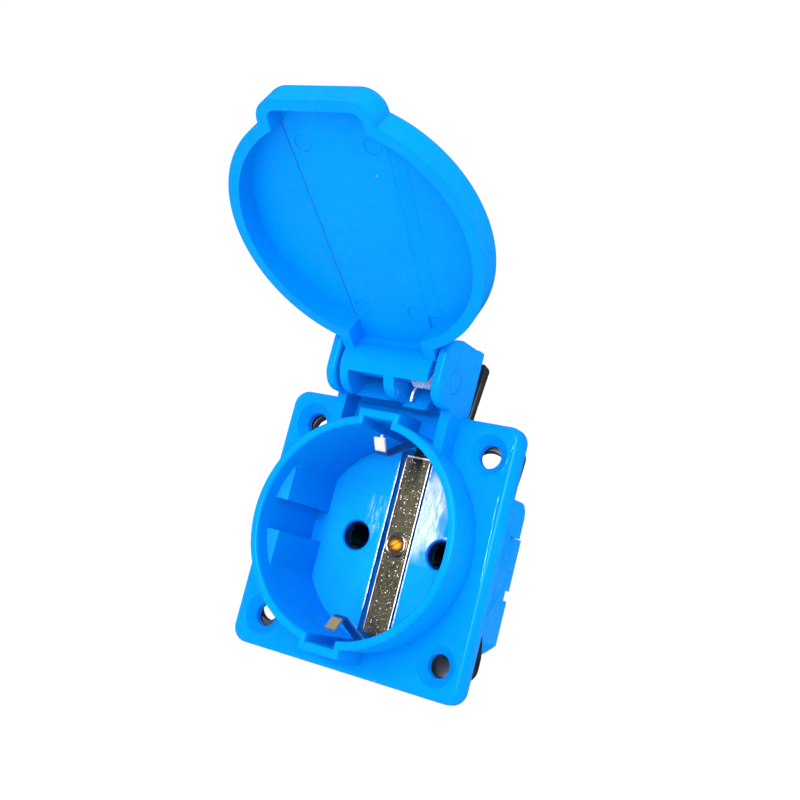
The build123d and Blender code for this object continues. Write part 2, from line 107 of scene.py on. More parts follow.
def aim_camera():
    """The camera's axes are its right, its up, and the way back from the target to the lens."""
    azimuth, elevation, roll = (math.radians(a) for a in (AZIMUTH, ELEVATION, ROLL))
    level = math.cos(elevation)
    back = Vector((math.sin(azimuth) * level, -math.cos(azimuth) * level, math.sin(elevation)))
    right = Vector((0, 0, 1)).cross(back).normalized()
    up = back.cross(right)
    tilted = math.cos(roll) * right + math.sin(roll) * up
    upright = math.cos(roll) * up - math.sin(roll) * right
    turn = Matrix((tilted, upright, back)).transposed()
    return Matrix.Translation(TARGET + back * DISTANCE) @ turn.to_4x4()


camera = bpy.data.objects.new("camera", bpy.data.cameras.new("camera"))
camera.data.lens = LENS
camera.data.clip_start = 1 * MM
camera.matrix_world = aim_camera()
bpy.context.scene.collection.objects.link(camera)
bpy.context.scene.camera = camera
print("camera at", [round(v / MM, 1) for v in camera.matrix_world.translation], "mm")

# %% [markdown]
# ## Light and floor
#
# The object was photographed in a white tent: light comes from all sides, so shadows are faint and
# the background is pure white. The world here is that tent, with one trick that photographers use as
# well: polished metal looks flat if everything it mirrors is white, so dark cards are put up for the
# metal to reflect. A light path node does the same. It gives mirror-like rays a dimmer grey room, and
# every other ray the white tent. What the camera sees behind the socket is plain white.

# %% World
view = bpy.context.scene.view_settings
view.view_transform = "Standard"
view.look = "None"

WHITE_TO_CAMERA = 1.05
DARK_ROOM = "#2c3236"
TENT_LIGHT = 1.4


def by_ray(tree, kind, colour, strength):
    """Three glows mixed by kind of ray: the camera sees plain white, mirror-like rays see a dark room,
    and every other ray gets the light itself."""
    white = add(tree, kind, Color=linear("#ffffff"), Strength=WHITE_TO_CAMERA)
    light = add(tree, kind, Color=linear(colour), Strength=strength)
    room = add(tree, kind, Color=linear(DARK_ROOM), Strength=1.0)
    glossy = add(tree, "LightPath", out="Is Glossy Ray")
    straight = add(tree, "LightPath", out="Is Camera Ray")
    lit = add(tree, "MixShader", i0=glossy, i1=light, i2=room)
    return add(tree, "MixShader", i0=straight, i1=lit, i2=white)


world = bpy.data.worlds.new("white tent")
bpy.context.scene.world = world
world.use_nodes = True
world.node_tree.nodes.clear()
add(world.node_tree, "OutputWorld", Surface=by_ray(world.node_tree, "Background", "#f4f8ff", TENT_LIGHT))
print("tent light:", TENT_LIGHT, "room:", DARK_ROOM)

# %% [markdown]
# Lamps add direction to the tent's even light: a broad softbox in front, a higher one that reaches down
# into the well, and a weak one beside the camera. Their strengths were found by rendering the scene
# with one light at a time. Light adds up, so the mix that comes closest to the tones of the picture
# is then a matter of solving for a few weights. A tall narrow strip lamp draws the broken line of light
# down the flange's rounded right edge. It is there for the gloss alone, so it is hidden from diffuse rays.

# %% Softboxes
# Each lamp: its name, its place, its width and height in millimetres, and its radiance
SOFTBOXES = (("front softbox", (0, -380, 90), (200, 200), 2.6),
             ("high softbox", (60, -300, 220), (160, 160), 3.1),
             ("fill softbox", (150, -300, -20), (160, 160), 1.75))
STRIP_LAMP = ("strip lamp", (8, -330, 60), (24, 190), 330.0)


def aimed(name, lamp, place, target):
    """The lamp as an object at a place in millimetres, turned to face the target."""
    made = bpy.data.objects.new(name, lamp)
    made.location = Vector(place) * MM
    made.rotation_euler = (target - made.location).to_track_quat("-Z", "Y").to_euler()
    bpy.context.scene.collection.objects.link(made)
    return made


def softbox(name, place, size, radiance):
    """A flat lamp sends out its radiance times its area times pi, so the brightness seen in it doesn't
    change with its size."""
    width, height = size
    lamp = bpy.data.lights.new(name, "AREA")
    lamp.shape = "RECTANGLE"
    lamp.size, lamp.size_y = width * MM, height * MM
    lamp.energy = radiance * math.pi * width * height * MM**2
    return aimed(name, lamp, place, TARGET)


for row in SOFTBOXES:
    softbox(*row)
softbox(*STRIP_LAMP).visible_diffuse = False
print("softboxes:", len(SOFTBOXES), "and a strip lamp")

# %% [markdown]
# In the picture the floor of the well is brighter than the softboxes alone make it. A photographer
# would reach for a snoot, a lamp in a tube: its narrow beam falls on that floor and on little else.
# Here it is a spot lamp with a small cone and a soft rim, hidden from glossy rays, as the strap would
# mirror it.

# %% Snoot
SNOOT_PLACE = (20, -380, 45)
WELL_MIDDLE = Vector((0, 7.5, 1)) * MM
beam = bpy.data.lights.new("snoot", "SPOT")
beam.energy = 2.0
beam.spot_size = math.radians(6.2)
beam.spot_blend = 0.5
beam.shadow_soft_size = 12 * MM
snoot = aimed("snoot", beam, SNOOT_PLACE, WELL_MIDDLE)
snoot.visible_glossy = False
beam_length = (WELL_MIDDLE - snoot.location).length
print("beam on the well:", round(2 * math.tan(beam.spot_size / 2) * beam_length / MM), "mm wide")

# %% [markdown]
# The table under the socket glows like the tent, so the plastic is lit from below as well and the
# picture shows no horizon. It could be a plane, but a disc worked out as rings of points shows the
# idea that most shapes below use: a grid of points, and a face between each four neighbours.

# %% Floor
TABLE_HEIGHT = -70
TABLE_LIGHT = 1.4


def make_floor(height):
    """A wide flat disc under the object, worked out as rings of points round its middle."""
    radius, turn = np.meshgrid(np.linspace(0.01, 3.0, 8), np.linspace(0, 2 * np.pi, 64, endpoint=False))
    points = np.stack([radius * np.cos(turn), radius * np.sin(turn), np.full_like(turn, height)], -1)
    rows, columns = turn.shape
    index = np.arange(rows * columns).reshape(rows, columns)
    beside = np.roll(index, -1, axis=0)
    rings = np.stack([index[:, :-1], index[:, 1:], beside[:, 1:], beside[:, :-1]], -1).reshape(-1, 4)
    mesh = bpy.data.meshes.new("floor")
    mesh.from_pydata(points.reshape(-1, 3).tolist(), [], [*rings.tolist(), index[:, 0].tolist()])
    made = bpy.data.objects.new("floor", mesh)
    bpy.context.scene.collection.objects.link(made)
    return made


def material(name):
    """A new material without nodes, and the tree to build it in."""
    made = bpy.data.materials.new(name)
    made.use_nodes = True
    made.node_tree.nodes.clear()
    return made, made.node_tree


floor = make_floor(TABLE_HEIGHT * MM)
table, tree = material("glowing white table")
add(tree, "OutputMaterial", Surface=by_ray(tree, "Emission", "#ffffff", TABLE_LIGHT))
floor.data.materials.append(table)
print("table at", TABLE_HEIGHT, "mm")

# %% [markdown]
# ## The rubber gasket
#
# A sheet of rubber, stamped out with a die, seals the flange against the panel it is screwed to. On
# this socket no panel presses on it, so its corners and the tongue behind the hinge have curled away
# from the plastic, and its screw holes no longer line up with the flange's. A flat sheet in the
# measured model can't show that. Here the sheet is a grid of points that run outwards from the round
# hole to the outer edge, and bending it is then one formula for how far back each point lies.

# %% Outline of the sheet
SHEET_THICK = 1.5
SHEET_HALF = 24.0
SHEET_CORNER = 3.0
SHEET_HOLE = 21.7
TONGUE_HALF = 12.5
TONGUE_TOP = 36.2
TONGUE_CORNER = 1.0
SCREW_HOLE = 2.4
EDGE_SEARCH = (SHEET_HOLE, 2 * SHEET_HOLE)


def outside(x, z):
    """Above zero outside the sheet: the smaller distance to a rounded square and a rounded tongue."""
    def to_rounded_box(x, z, half_x, half_z, corner):
        over_x = np.abs(x) - half_x + corner
        over_z = np.abs(z) - half_z + corner
        beyond = np.hypot(np.maximum(over_x, 0), np.maximum(over_z, 0))
        return beyond + np.minimum(np.maximum(over_x, over_z), 0) - corner

    middle = TONGUE_TOP / 2
    return np.minimum(to_rounded_box(x, z, SHEET_HALF, SHEET_HALF, SHEET_CORNER),
                      to_rounded_box(x, z - middle, TONGUE_HALF, middle, TONGUE_CORNER))


def reach(turn):
    """How far the sheet goes in each direction, found by halving the span that holds its edge."""
    near, far = (np.full_like(turn, limit) for limit in EDGE_SEARCH)
    for _ in range(30):
        middle = (near + far) / 2
        off = outside(middle * np.cos(turn), middle * np.sin(turn)) > 0
        near, far = np.where(off, near, middle), np.where(off, middle, far)
    return near


print("sheet:", 2 * SHEET_HALF, "mm square, with a tongue", 2 * TONGUE_HALF, "mm wide")

# %% [markdown]
# Each corner curls by its own amount, from a slanting line onwards, and the tongue leans back the more
# the higher it stands. Looking at the side of a real one shows how: the gap opens like a wedge, almost
# straight, and only levels off near the tip. The lower right corner has curled most and has taken its
# screw hole out of sight, so the flange's hole there shows black rubber.

# %% Curl of the sheet
# Each corner: sign of x, sign of z, where its slanting line lies (as x plus z) and how far on the curl
# levels off, how far back its tip stands, and how far the tip has been drawn in along z
CURLS = ((1, 1, 34.5, 10.0, 1.5, 1.2), (1, -1, 34.0, 8.5, 2.8, 2.9),
         (-1, 1, 34.5, 10.0, 0.9, 1.0), (-1, -1, 34.5, 10.0, 0.7, 1.0))
CURL_POWER = 1.5
TONGUE_BLEND = 3.0
LEAN = 1.8
LEAN_START = 25.0
LEAN_POWER = 1.1


def curled(x, z):
    """Where each point of the flat sheet goes. A corner's share of its curl is one less a power of the
    way that is still left to its level part. The point goes back and inwards by that share. The tongue
    takes no part in the corners' curl and leans back by a power of its height."""
    back, moved = np.zeros_like(x), z
    beside = np.clip((np.abs(x) - TONGUE_HALF) / TONGUE_BLEND, 0, 1)
    for sign_x, sign_z, start, length, rise, drawn in CURLS:
        left = 1 - np.clip((sign_x * x + sign_z * z - start) / length, 0, 1)
        share = (1 - left**CURL_POWER) * beside
        back = back + rise * share
        moved = moved - sign_z * drawn * share
    lean = np.clip((z - LEAN_START) / (TONGUE_TOP - LEAN_START), 0, 1)
    back = back + LEAN * lean**LEAN_POWER
    return np.stack([x, SHEET_THICK / 2 + back, moved], -1)


print("curl of the corners:", [curl[4] for curl in CURLS], "mm, lean of the tongue:", LEAN, "mm")

# %% [markdown]
# The grid runs round the sheet in columns and out from the round hole in rows. A screw hole doesn't fit
# such a grid, so a block of cells is taken out round each one, and a patch of rings fills the space
# between the block's edge and the hole. A modifier then gives the sheet its thickness.

# %% Grid of the sheet
COLUMNS = 720
ROWS = 15
HOLE_RINGS = 6
BLOCK_HALF = 14
BLOCK_ROWS = (1, 11)
SCREW_HOLES = ((18.3, 18.6), (20.3, -17.6), (-18.7, 19.2), (-20.0, -18.3))


def quads_of(index):
    """The four corners of each cell of a grid of point numbers."""
    return np.stack([index[:-1, :-1], index[1:, :-1], index[1:, 1:], index[:-1, 1:]], -1).reshape(-1, 4)


def hole_patch(index, points, centre, first):
    """Rings from the edge of a block of cells in to a circle: each point moves straight towards it."""
    column = round(math.atan2(centre[1], centre[0]) / (2 * math.pi) * COLUMNS)
    low, high = BLOCK_ROWS
    across = np.arange(column - BLOCK_HALF, column + BLOCK_HALF + 1) % COLUMNS
    rows = np.arange(low, high + 1)
    block = index[np.ix_(rows, across)]
    edge = np.concatenate([block[0, :-1], block[:-1, -1], block[-1, :0:-1], block[:0:-1, 0]])
    out = points[edge] - centre
    rim = centre + SCREW_HOLE * out / np.linalg.norm(out, axis=1, keepdims=True)
    share = np.linspace(0, 1, HOLE_RINGS)[1:, None, None]
    rings = points[edge] * (1 - share) + rim * share
    numbers = np.concatenate([edge[None], first + np.arange(rings[..., 0].size).reshape(rings.shape[:2])])
    closed = np.concatenate([numbers, numbers[:, :1]], axis=1)
    return rings.reshape(-1, 2), quads_of(closed), (rows[:-1], across[:-1])


def sheet_mesh():
    """The sheet's middle surface: a ring grid, with a patch of rings let in round each screw hole."""
    turn = np.linspace(0, 2 * np.pi, COLUMNS, endpoint=False)
    share = np.linspace(0, 1, ROWS)[:, None]
    radius = SHEET_HOLE + share * (reach(turn) - SHEET_HOLE)
    points = np.stack([radius * np.cos(turn), radius * np.sin(turn)], -1).reshape(-1, 2)
    index = np.arange(ROWS * COLUMNS).reshape(ROWS, COLUMNS)
    kept = np.ones((ROWS - 1, COLUMNS), bool)
    faces = []
    for centre in SCREW_HOLES:
        added, patch, block = hole_patch(index, points[: ROWS * COLUMNS], np.array(centre), len(points))
        kept[np.ix_(*block)] = False
        points = np.concatenate([points, added])
        faces.append(patch)
    ring = quads_of(np.concatenate([index, index[:, :1]], axis=1)).reshape(ROWS - 1, COLUMNS, 4)
    faces.append(ring[kept])
    return curled(*points.T) * MM, np.concatenate(faces)


def new_object(name, points, faces, smooth=True, closed=True):
    """A mesh object at the origin, made from an array of points and an array of four-cornered faces.
    The faces of a closed surface are turned outwards: that is so when the sum over them of the box
    product of three corners, which is six times the volume inside, is above zero."""
    a, b, c, d = (points[faces[:, corner]] for corner in range(4))
    volume = (a * (np.cross(b, c) + np.cross(c, d))).sum()
    faces = faces[:, ::-1] if closed and volume < 0 else faces
    mesh = bpy.data.meshes.new(name)
    mesh.from_pydata(points.tolist(), [], faces.tolist())
    mesh.shade_smooth() if smooth else mesh.shade_flat()
    made = bpy.data.objects.new(name, mesh)
    bpy.context.scene.collection.objects.link(made)
    return made


gasket = new_object("curled_gasket", *sheet_mesh(), closed=False)
thick = gasket.modifiers.new("sheet thickness", "SOLIDIFY")
thick.thickness = SHEET_THICK * MM
thick.offset = 0
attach(gasket, "housing")
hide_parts("panel_gasket")
print("gasket cells:", len(gasket.data.polygons))

# %% [markdown]
# ## The rolled eyelet
#
# A brass eyelet holds the middle of the earth strap, and the centre screw sits in it. An eyelet is a
# tube whose end is rolled outwards in a press, so its rim is round like half a ring, and it is this
# roundness that catches the light. Anything turned or rolled is a profile swept round an axis: each
# point of the profile goes round a circle of its own radius.

# %% Eyelet
def closed_grid(points):
    """The faces of a grid of points that closes on itself both ways, like a ring's surface."""
    rows, columns = points.shape[:2]
    index = np.arange(rows * columns).reshape(rows, columns)
    return quads_of(np.pad(index, ((0, 1), (0, 1)), mode="wrap"))


def turned(profile, turns=96):
    """Radius r at depth y becomes r times the cosine of the turn in x and r times its sine in z."""
    radius, depth = np.array(profile).T[:, :, None]
    turn = np.linspace(0, 2 * np.pi, turns, endpoint=False)
    points = np.stack([radius * np.cos(turn), depth + 0 * turn, radius * np.sin(turn)], -1)
    return points.reshape(-1, 3) * MM, closed_grid(points)


RIM_MIDDLE = (1.98, 6.98)
RIM_ROUND = 0.34
roll = np.linspace(np.pi, 2 * np.pi, 17)
rim = np.stack([RIM_MIDDLE[0] + RIM_ROUND * np.cos(roll), RIM_MIDDLE[1] + RIM_ROUND * np.sin(roll)], -1)
tube = [(2.3, 7.49), (1.95, 7.5), (1.95, 9.45), (1.26, 9.45), (1.26, 8.02), (1.64, 8.0), (1.68, 7.9)]
eyelet = new_object("rolled_eyelet", *turned([*rim.tolist(), *tube]))
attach(eyelet, "housing")
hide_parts("strap_eyelet")
print("radius of the rim:", round(RIM_MIDDLE[0] + RIM_ROUND, 2), "mm")

# %% [markdown]
# ## Marks of the mould, and a strip of painted shade
#
# The middle of the lid's floor was shaped by a separate steel insert. Along one side of the band, where
# the insert met the rest of the mould, a thin dark strip is painted shade: it stands for the shade in the
# fine step there. On the other side the band runs out in a shallow ramp. Both are a fiftieth to a third of
# a millimetre high, so each is a strip laid along a line on the lid. They are worked out on the closed
# lid, where the numbers are simple, and then turned open about the hinge like the lid itself.

# %% Shade line of the insert, and ramp
HINGE_Y, HINGE_Z = -8.46, 30.17
OPEN_TURN = math.radians(-124.0)
LID_FLOOR = -12.0
BAND_FACE = -11.7
BAND_NEAR, BAND_FAR = 7.75, 9.85
LID_INSIDE = 22.3
STRIP_STEPS = 400


def opened(points):
    """Points of the closed lid turned about the hinge: the usual turn of y and z about its axis."""
    x, y, z = points[..., 0], points[..., 1] - HINGE_Y, points[..., 2] - HINGE_Z
    level, steep = math.cos(OPEN_TURN), math.sin(OPEN_TURN)
    return np.stack([x, HINGE_Y + y * level - z * steep, HINGE_Z + y * steep + z * level], -1)


def band_edge(z):
    """How far the band's edge is from the middle: it widens in a straight line towards the tab."""
    return BAND_NEAR + (BAND_FAR - BAND_NEAR) * (LID_INSIDE - z) / (2 * LID_INSIDE)


CAPS = {4: [[0, 1, 2, 3]], 8: [[0, 1, 2, 3], [0, 3, 4, 7], [4, 5, 6, 7]]}


def bar(corners):
    """A closed bar from rows of four or eight corner points: its sides join up, and flat caps close
    its ends."""
    count, sides = corners.shape[:2]
    index = np.arange(count * sides).reshape(count, sides)
    side_faces = quads_of(np.pad(index, ((0, 0), (0, 1)), mode="wrap"))
    caps = np.array(CAPS[sides])
    faces = np.concatenate([side_faces, index[0][caps], index[-1][caps[:, ::-1]]])
    return corners.reshape(-1, 3) * MM, faces


def laid_on_lid(name, across, heights, far_z, near_z):
    """A bar along the lid's floor: across gives each corner's x from z, and heights its depth."""
    z = np.linspace(far_z, near_z, STRIP_STEPS)
    corners = [np.stack([side(z), np.full_like(z, y), z], -1) for side, y in zip(across, heights)]
    made = new_object(name, *bar(opened(np.stack(corners, 1))), smooth=False)
    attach(made, "lid")
    return made


def wander(z):
    """Three slow waves of different lengths, for a line that isn't quite straight."""
    return 0.05 * np.sin(z * 1.3) + 0.035 * np.sin(z * 3.1 + 1) + 0.03 * np.sin(z * 0.45 + 2)


# The ramp starts a little under the band's edge, and both strips are sunk a little into the floor
RAMP_START, RAMP_WIDTH = -0.3, 2.6
LINE_HALF = 0.12
SUNK = 0.1


def ramp_start(z):
    return band_edge(z) + RAMP_START


def ramp_end(z):
    return band_edge(z) + RAMP_WIDTH


def line_left(z):
    return wander(z) - band_edge(z) - LINE_HALF


def line_right(z):
    return wander(z) - band_edge(z) + LINE_HALF


ramp = laid_on_lid("band_ramp", (ramp_start, ramp_end, ramp_end, ramp_start),
                   (BAND_FACE + 0.01, LID_FLOOR + 0.01, LID_FLOOR - SUNK, LID_FLOOR - SUNK),
                   far_z=-18.4, near_z=18.4)
# The insert's line is a dark strip of painted shade along the band's edge
insert_shade_strip = laid_on_lid("insert_shade_line", (line_left, line_right, line_right, line_left),
                       (BAND_FACE + 0.02, BAND_FACE + 0.02, LID_FLOOR - SUNK, LID_FLOOR - SUNK),
                       far_z=-20.0, near_z=20.4)
print("band:", 2 * BAND_NEAR, "to", 2 * BAND_FAR, "mm wide")

# %% [markdown]
# The hinge pin's head lies flush in the right ear. Its seat is a trace wider than the head, and the head
# rests to one side of it, so the gap shows as a fine sickle: two circles with middles that aren't quite
# the same. The sickle is a flat dark sheet on the ear, the painted shade of the gap.

# %% Gap round the pin head
def sickle(x, inner, outer, shift, thick=0.02, turns=128):
    """A flat ring between a circle and a wider one moved by shift, as a closed strip that thin."""
    turn = np.linspace(0, 2 * np.pi, turns, endpoint=False)
    circle = np.stack([np.cos(turn), np.sin(turn)], -1)
    middle = np.array((HINGE_Y, HINGE_Z))
    rings = [middle + inner * circle, middle + np.array(shift) + outer * circle]
    loops = [(rings[0], x), (rings[1], x), (rings[1], x - thick), (rings[0], x - thick)]
    points = np.stack([np.column_stack([np.full(turns, at), ring]) for ring, at in loops])
    return points.reshape(-1, 3) * MM, closed_grid(points)


EAR_FACE = 12.162
SEAT_SHIFT = (0.1, -0.07)
gap = new_object("pin_head_gap", *sickle(EAR_FACE, inner=2.03, outer=2.16, shift=SEAT_SHIFT), smooth=False)
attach(gap, "housing")
print("seat of the pin's head:", [round(v, 2) for v in SEAT_SHIFT], "mm off its middle")

# %% [markdown]
# Nothing moulded is quite flat. Where the melt flowed round the screw holes it left low ridges on the
# flange, too low to feel but glossy enough to break the strip lamp's reflection into a wandering line.
# The edges of the strap's groove stand up a little too, where the mould's two halves shut, and their pale
# colour is a painted highlight. Each is half an ellipse carried along a line, and slow waves in its width
# break it up.

# %% Ridges
def ridge(name, line, face_y, width, height, seed, body="housing"):
    """A low ridge on a face across y. line lists its x and z, and its width tapers to its ends and
    swells and shrinks along it with two waves. Its side stands off its middle by the cosine of an
    angle, and its height is the sine."""
    line = np.array(line)
    share = np.linspace(0, 1, STRIP_STEPS)
    knots = np.linspace(0, 1, len(line))
    x, z = np.interp(share, knots, line[:, 0]), np.interp(share, knots, line[:, 1])
    along = np.stack([np.gradient(x), np.gradient(z)], -1)
    along /= np.linalg.norm(along, axis=1, keepdims=True)
    taper = np.sqrt(np.clip(np.minimum(share, 1 - share) * 12, 0.002, 1))
    waves = 0.75 + 0.3 * np.sin(share * 43 + seed) * np.sin(share * 17 + 2 * seed)
    size = (taper * waves)[:, None]
    angle = np.linspace(0, np.pi, 8)
    off = np.cos(angle) * size * width / 2
    points = np.stack([x[:, None] - off * along[:, 1:], face_y + 0.01 - height * size * np.sin(angle),
                       z[:, None] + off * along[:, :1]], -1)
    made = new_object(name, *bar(points))
    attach(made, body)
    return made


FLANGE_FACE = -2.9
WELL_FLOOR = 7.5
UPPER_FLOW = ((23.6, 22.2), (23.2, 19.5), (22.8, 16.8))
LOWER_FLOW = ((23.05, 12.6), (23.1, 9.0), (23.3, 4.4), (23.6, -3.6))
GROOVE_LEFT = ((-3.9, 16.2), (-3.95, 0.0), (-3.9, -14.0))
GROOVE_RIGHT = ((3.3, 17.6), (3.25, 0.0), (3.3, -17.8))
upper_flow = ridge("flow_ridge_upper", UPPER_FLOW, FLANGE_FACE, width=0.3, height=0.05, seed=1.0)
lower_flow = ridge("flow_ridge_lower", LOWER_FLOW, FLANGE_FACE, width=0.42, height=0.07, seed=2.0)
groove_left = ridge("groove_ridge_left", GROOVE_LEFT, WELL_FLOOR, width=0.42, height=0.08, seed=3.0)
groove_right = ridge("groove_ridge_right", GROOVE_RIGHT, WELL_FLOOR, width=0.3, height=0.06, seed=4.0)
print("ridges:", [made.name for made in (upper_flow, lower_flow, groove_left, groove_right)])

# %% [markdown]
# The measured groove is a little wide on its right, where the real one is cut close to the strap. A
# narrow strip of floor along it fills what is too much.

# %% Lip of the groove
LIP_LENGTH = 36.8
LIP_LEFT, LIP_RIGHT = 3.15, 3.96
LIP_FACE, LIP_FOOT = 7.492, 8.05
lip_z = np.linspace(-LIP_LENGTH / 2, LIP_LENGTH / 2, 3)
lip_corners = ((LIP_LEFT, LIP_FACE), (LIP_RIGHT, LIP_FACE), (LIP_RIGHT, LIP_FOOT), (LIP_LEFT, LIP_FOOT))
lip_rows = np.stack([np.stack([np.full(3, x), np.full(3, y), lip_z], -1) for x, y in lip_corners], 1)
lip = new_object("groove_lip", *bar(lip_rows), smooth=False)
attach(lip, "housing")
print("lip:", round(LIP_RIGHT - LIP_LEFT, 2), "mm wide")

# %% [markdown]
# The press that cut the strap turned its edges up a little. The tip of the upper clip keeps a small nub
# where it was cut from the roll of strip. The edges are ridges like those of the mould, only brighter, and
# the nub is a short bar that leans with the tip. Their near-white, mostly matt nickel is a painted glint.

# %% Bright edges of the strap
END_EDGE = ((-2.6, 17.3), (2.6, 17.3))
RIGHT_EDGE = ((2.6, 17.4), (2.62, 0.0), (2.6, -17.3))
LEFT_EDGE = ((-2.64, 17.2), (-2.64, -17.2))
strap_edges = [
    ridge("strap_end_edge", END_EDGE, WELL_FLOOR, width=0.45, height=0.12, seed=0.0),
    ridge("strap_right_edge", RIGHT_EDGE, WELL_FLOOR, width=0.3, height=0.1, seed=1.5),
    ridge("strap_left_edge", LEFT_EDGE, WELL_FLOOR, width=0.14, height=0.05, seed=2.5),
]

NUB_FOOT = np.array([(0.1, -8.5, 17.6), (0.5, -8.5, 17.6), (0.5, -8.2, 17.8), (0.1, -8.2, 17.8)])
NUB_WAY = np.array((0.0, -0.6, 0.8))
NUB_LENGTH = 0.75
nub = new_object("clip_nub", *bar(np.stack([NUB_FOOT, NUB_FOOT + NUB_LENGTH * NUB_WAY])), smooth=False)
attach(nub, "housing")
print("strap edges:", len(strap_edges), "nub:", NUB_LENGTH, "mm")

# %% [markdown]
# ## The hinge spring
#
# The lid snaps shut by a torsion spring: drawn wire wound in a close coil round the hinge pin. Its far
# end sits in a small hole of the right ear and stays there. Its near end is a leg that lies against the
# lid's barrel and goes round with it, so one rigid piece can't show it at both ends of the swing. Here
# the coil belongs to the housing and the leg to the lid. A curve with a round bevel would also do, but
# a circle carried along a path shows how such a bevel works.

# %% Path and wire
WIRE_RADIUS = 0.29
RING = 16


def along(corners, steps=48, soft=3):
    """Evenly spaced points through the corners, each then the mean of its near ones to round the bends."""
    corners = np.array(corners)
    length = np.append(0, np.cumsum(np.linalg.norm(np.diff(corners, axis=0), axis=1)))
    place = np.linspace(0, length[-1], steps)
    path = np.stack([np.interp(place, length, axis) for axis in corners.T])
    mean = np.ones(2 * soft + 1) / (2 * soft + 1)
    return np.stack([np.convolve(np.pad(axis, soft, mode="edge"), mean, "valid") for axis in path], -1)


def round_wire(name, path, across):
    """Every point of the path carries a circle square to its way: the way crossed with a fixed
    direction gives one axis of the circle, and that axis crossed with the way gives the other."""
    way = np.gradient(path, axis=0)
    way = way / np.linalg.norm(way, axis=1, keepdims=True)
    side = np.cross(way, across)
    side = (side / np.linalg.norm(side, axis=1, keepdims=True))[:, None]
    other = np.cross(side[:, 0], way)[:, None]
    turn = np.linspace(0, 2 * np.pi, RING, endpoint=False)[:, None]
    skin = path[:, None] + WIRE_RADIUS * (np.cos(turn) * side + np.sin(turn) * other)
    index = np.arange(len(path) * RING).reshape(-1, RING)
    beside = np.roll(index, -1, axis=1)
    walls = np.stack([index[:-1], index[1:], beside[1:], beside[:-1]], -1).reshape(-1, 4)
    step = np.arange(1, RING - 2, 2)[:, None]
    end = np.hstack([0 * step, step, step + 1, step + 2])
    faces = np.vstack([walls, end, end[:, ::-1] + (len(path) - 1) * RING])
    return new_object(name, skin.reshape(-1, 3) * MM, faces)


print("wire:", 2 * WIRE_RADIUS, "mm thick")

# %% [markdown]
# The coil is a helix: its turn and its place along the pin grow together. The ear's leg rises from its
# end and runs into the ear, and the lid's leg leaves its start in a straight line down the barrel.

# %% Coil and legs
COIL_RADIUS = 1.85
COIL_START, COIL_END = 3.9, 8.9
FIRST_TURN = math.radians(-27.3)
LAST_TURN = 15 * math.pi
EAR_RISE, EAR_BEND, EAR_END = 1.2, 9.5, 10.75
LEG_BACK, LEG_KNEE, LEG_END = 0.6, 2.87, 4.75

coil_turn = np.linspace(FIRST_TURN, LAST_TURN, 360)
coil_x = np.linspace(COIL_START, COIL_END, len(coil_turn))
coil_y = HINGE_Y + COIL_RADIUS * np.cos(coil_turn)
coil_z = HINGE_Z + COIL_RADIUS * np.sin(coil_turn)
helix = np.stack([coil_x, coil_y, coil_z], -1)
coil = round_wire("spring_coil", helix, (1, 0, 0))
ear_y, ear_z = HINGE_Y - COIL_RADIUS, HINGE_Z + EAR_RISE
ear_line = [(COIL_END, ear_y, HINGE_Z), (EAR_BEND, ear_y, ear_z), (EAR_END, ear_y, ear_z)]
ear_leg = round_wire("spring_ear_leg", along(ear_line), (0, 1, 0))
leg_y = HINGE_Y + LEG_BACK
lid_line = [helix[0], (COIL_START, leg_y, HINGE_Z - LEG_KNEE), (COIL_START, leg_y, HINGE_Z - LEG_END)]
lid_leg = round_wire("spring_lid_leg", along(lid_line), (1, 0, 0))
for made, body in ((coil, "housing"), (ear_leg, "housing"), (lid_leg, "lid")):
    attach(made, body)
    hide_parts("lid_spring")
print("turns of the coil:", round((LAST_TURN - FIRST_TURN) / (2 * math.pi), 2))

# %% [markdown]
# ## Finishes
#
# Every finish below is worked out from the object's own coordinates, so it stays fixed to the piece
# when the lid turns, and none of it needs a picture. A few kinds of node do it all. A noise gives soft
# blotches, and its scale is one over their size. Map Range (value, lowest, highest, and what these two
# become) moves a value to another range and holds it there. Mix blends two colours by a share. Bump
# tilts the surface as if it had that height.

# %% Sizes, shares and boxes
TIMES = {"operation": "MULTIPLY"}
COLOURS = {"data_type": "RGBA"}


def scale_for(size):
    """The scale of a pattern whose blotches are about that many millimetres across."""
    return 1 / (size * MM)


def within(tree, place, share, box):
    """The share, but only inside a box: each side fades in over the last of its three numbers."""
    for axis, (low, high, soft) in zip("XYZ", box):
        value = add(tree, "SeparateXYZ", out=axis, Vector=place)
        rising = add(tree, "MapRange", i0=value, i1=low * MM, i2=(low + soft) * MM)
        falling = add(tree, "MapRange", i0=value, i1=(high - soft) * MM, i2=high * MM, i3=1, i4=0)
        share = add(tree, "Math", TIMES, i0=share, i1=rising)
        share = add(tree, "Math", TIMES, i0=share, i1=falling)
    return share


print("scale for blotches of a millimetre:", scale_for(1.0))

# %% [markdown]
# The housing, the lid and the terminal base are moulded from dyed nylon. Its colour is deep and even. What
# makes it look moulded is the surface: slightly rounded edges, a gloss that comes and goes where the melt
# met the steel, and a waviness too shallow to see except in a reflection. Its use has left dust. The floor
# of the well is paler in spots, a painted pool of light and sheen, and beside the strap it carries pale
# streaks, a painted reflection of a lamp. Deep in the pin holes and the strap's groove it lies in its own
# shade, which is painted here, because the white tent lights these corners more than the real room did.

